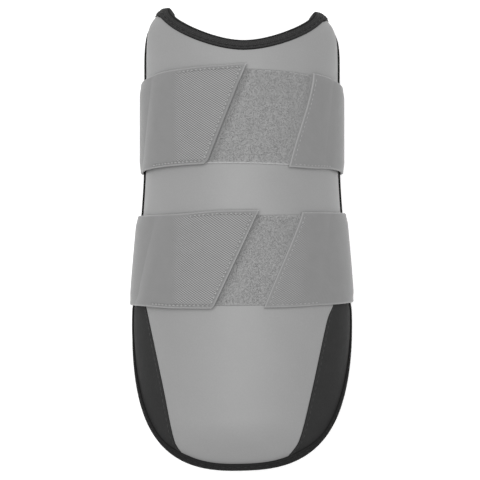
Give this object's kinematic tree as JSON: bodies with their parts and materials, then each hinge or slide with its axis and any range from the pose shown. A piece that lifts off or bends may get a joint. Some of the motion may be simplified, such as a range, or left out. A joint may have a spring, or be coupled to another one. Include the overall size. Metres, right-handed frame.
{
  "type": "elbow guard",
  "caption": "Padded sport elbow guard: an arched pad with a scooped upper edge, bound rims and dark corner gussets, held on the arm by wide elastic straps with hook-and-loop tabs.",
  "frame": {"origin": "middle of the footprint, on the surface that the guard lies on with its open back down", "axes": "+X to the right as seen from the front, +Y from the forearm end to the scooped upper-arm end, +Z from the open back to the padded front"},
  "size_m": [0.1189, 0.2396, 0.0649],
  "materials": {
    "cover": "matte grey synthetic cover over padding",
    "gusset": "matte black coated fabric",
    "lining": "black knitted lining over foam",
    "tape": "black folded binding tape",
    "loop": "grey loop pile",
    "hook": "grey hook tape",
    "elastic": "grey woven elastic webbing"
  },
  "bodies": {
    "root": {"front_panel": "cover", "gusset_left": "gusset", "gusset_right": "gusset", "inner_pad": "lining", "top_binding": "tape", "rim_binding": "tape", "upper_loop_patch": "loop", "lower_loop_patch": "loop", "upper_hook_pad": "hook", "lower_hook_pad": "hook", "upper_strap": "elastic", "lower_strap": "elastic"}
  },
  "joints": []
}
